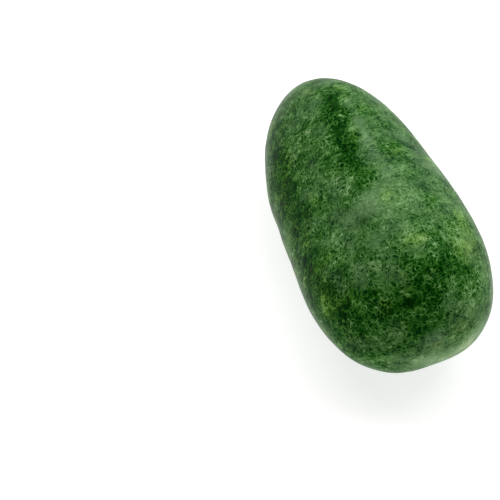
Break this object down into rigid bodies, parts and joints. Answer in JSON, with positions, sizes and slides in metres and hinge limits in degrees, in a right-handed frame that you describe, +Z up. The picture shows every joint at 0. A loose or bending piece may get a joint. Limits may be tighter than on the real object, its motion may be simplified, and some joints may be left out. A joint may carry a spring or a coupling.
{
  "type": "wax gourd",
  "caption": "Whole dark green wax gourd with mottled waxy rind and cut stalk, blunt, broad at the blossom end, lying on its side.",
  "frame": {"origin": "on the surface that the gourd lies on, under the middle of its bounding box", "axes": "+Z up, +Y along the fruit from the blossom end towards the stem end, +X to the right when looking along +Y"},
  "size_m": [0.1776, 0.388, 0.1779],
  "materials": {
    "rind": "satin, waxy",
    "stalk": "dry, fibrous"
  },
  "bodies": {
    "root": {"fruit": "rind", "stem_stub": "stalk"}
  },
  "joints": []
}
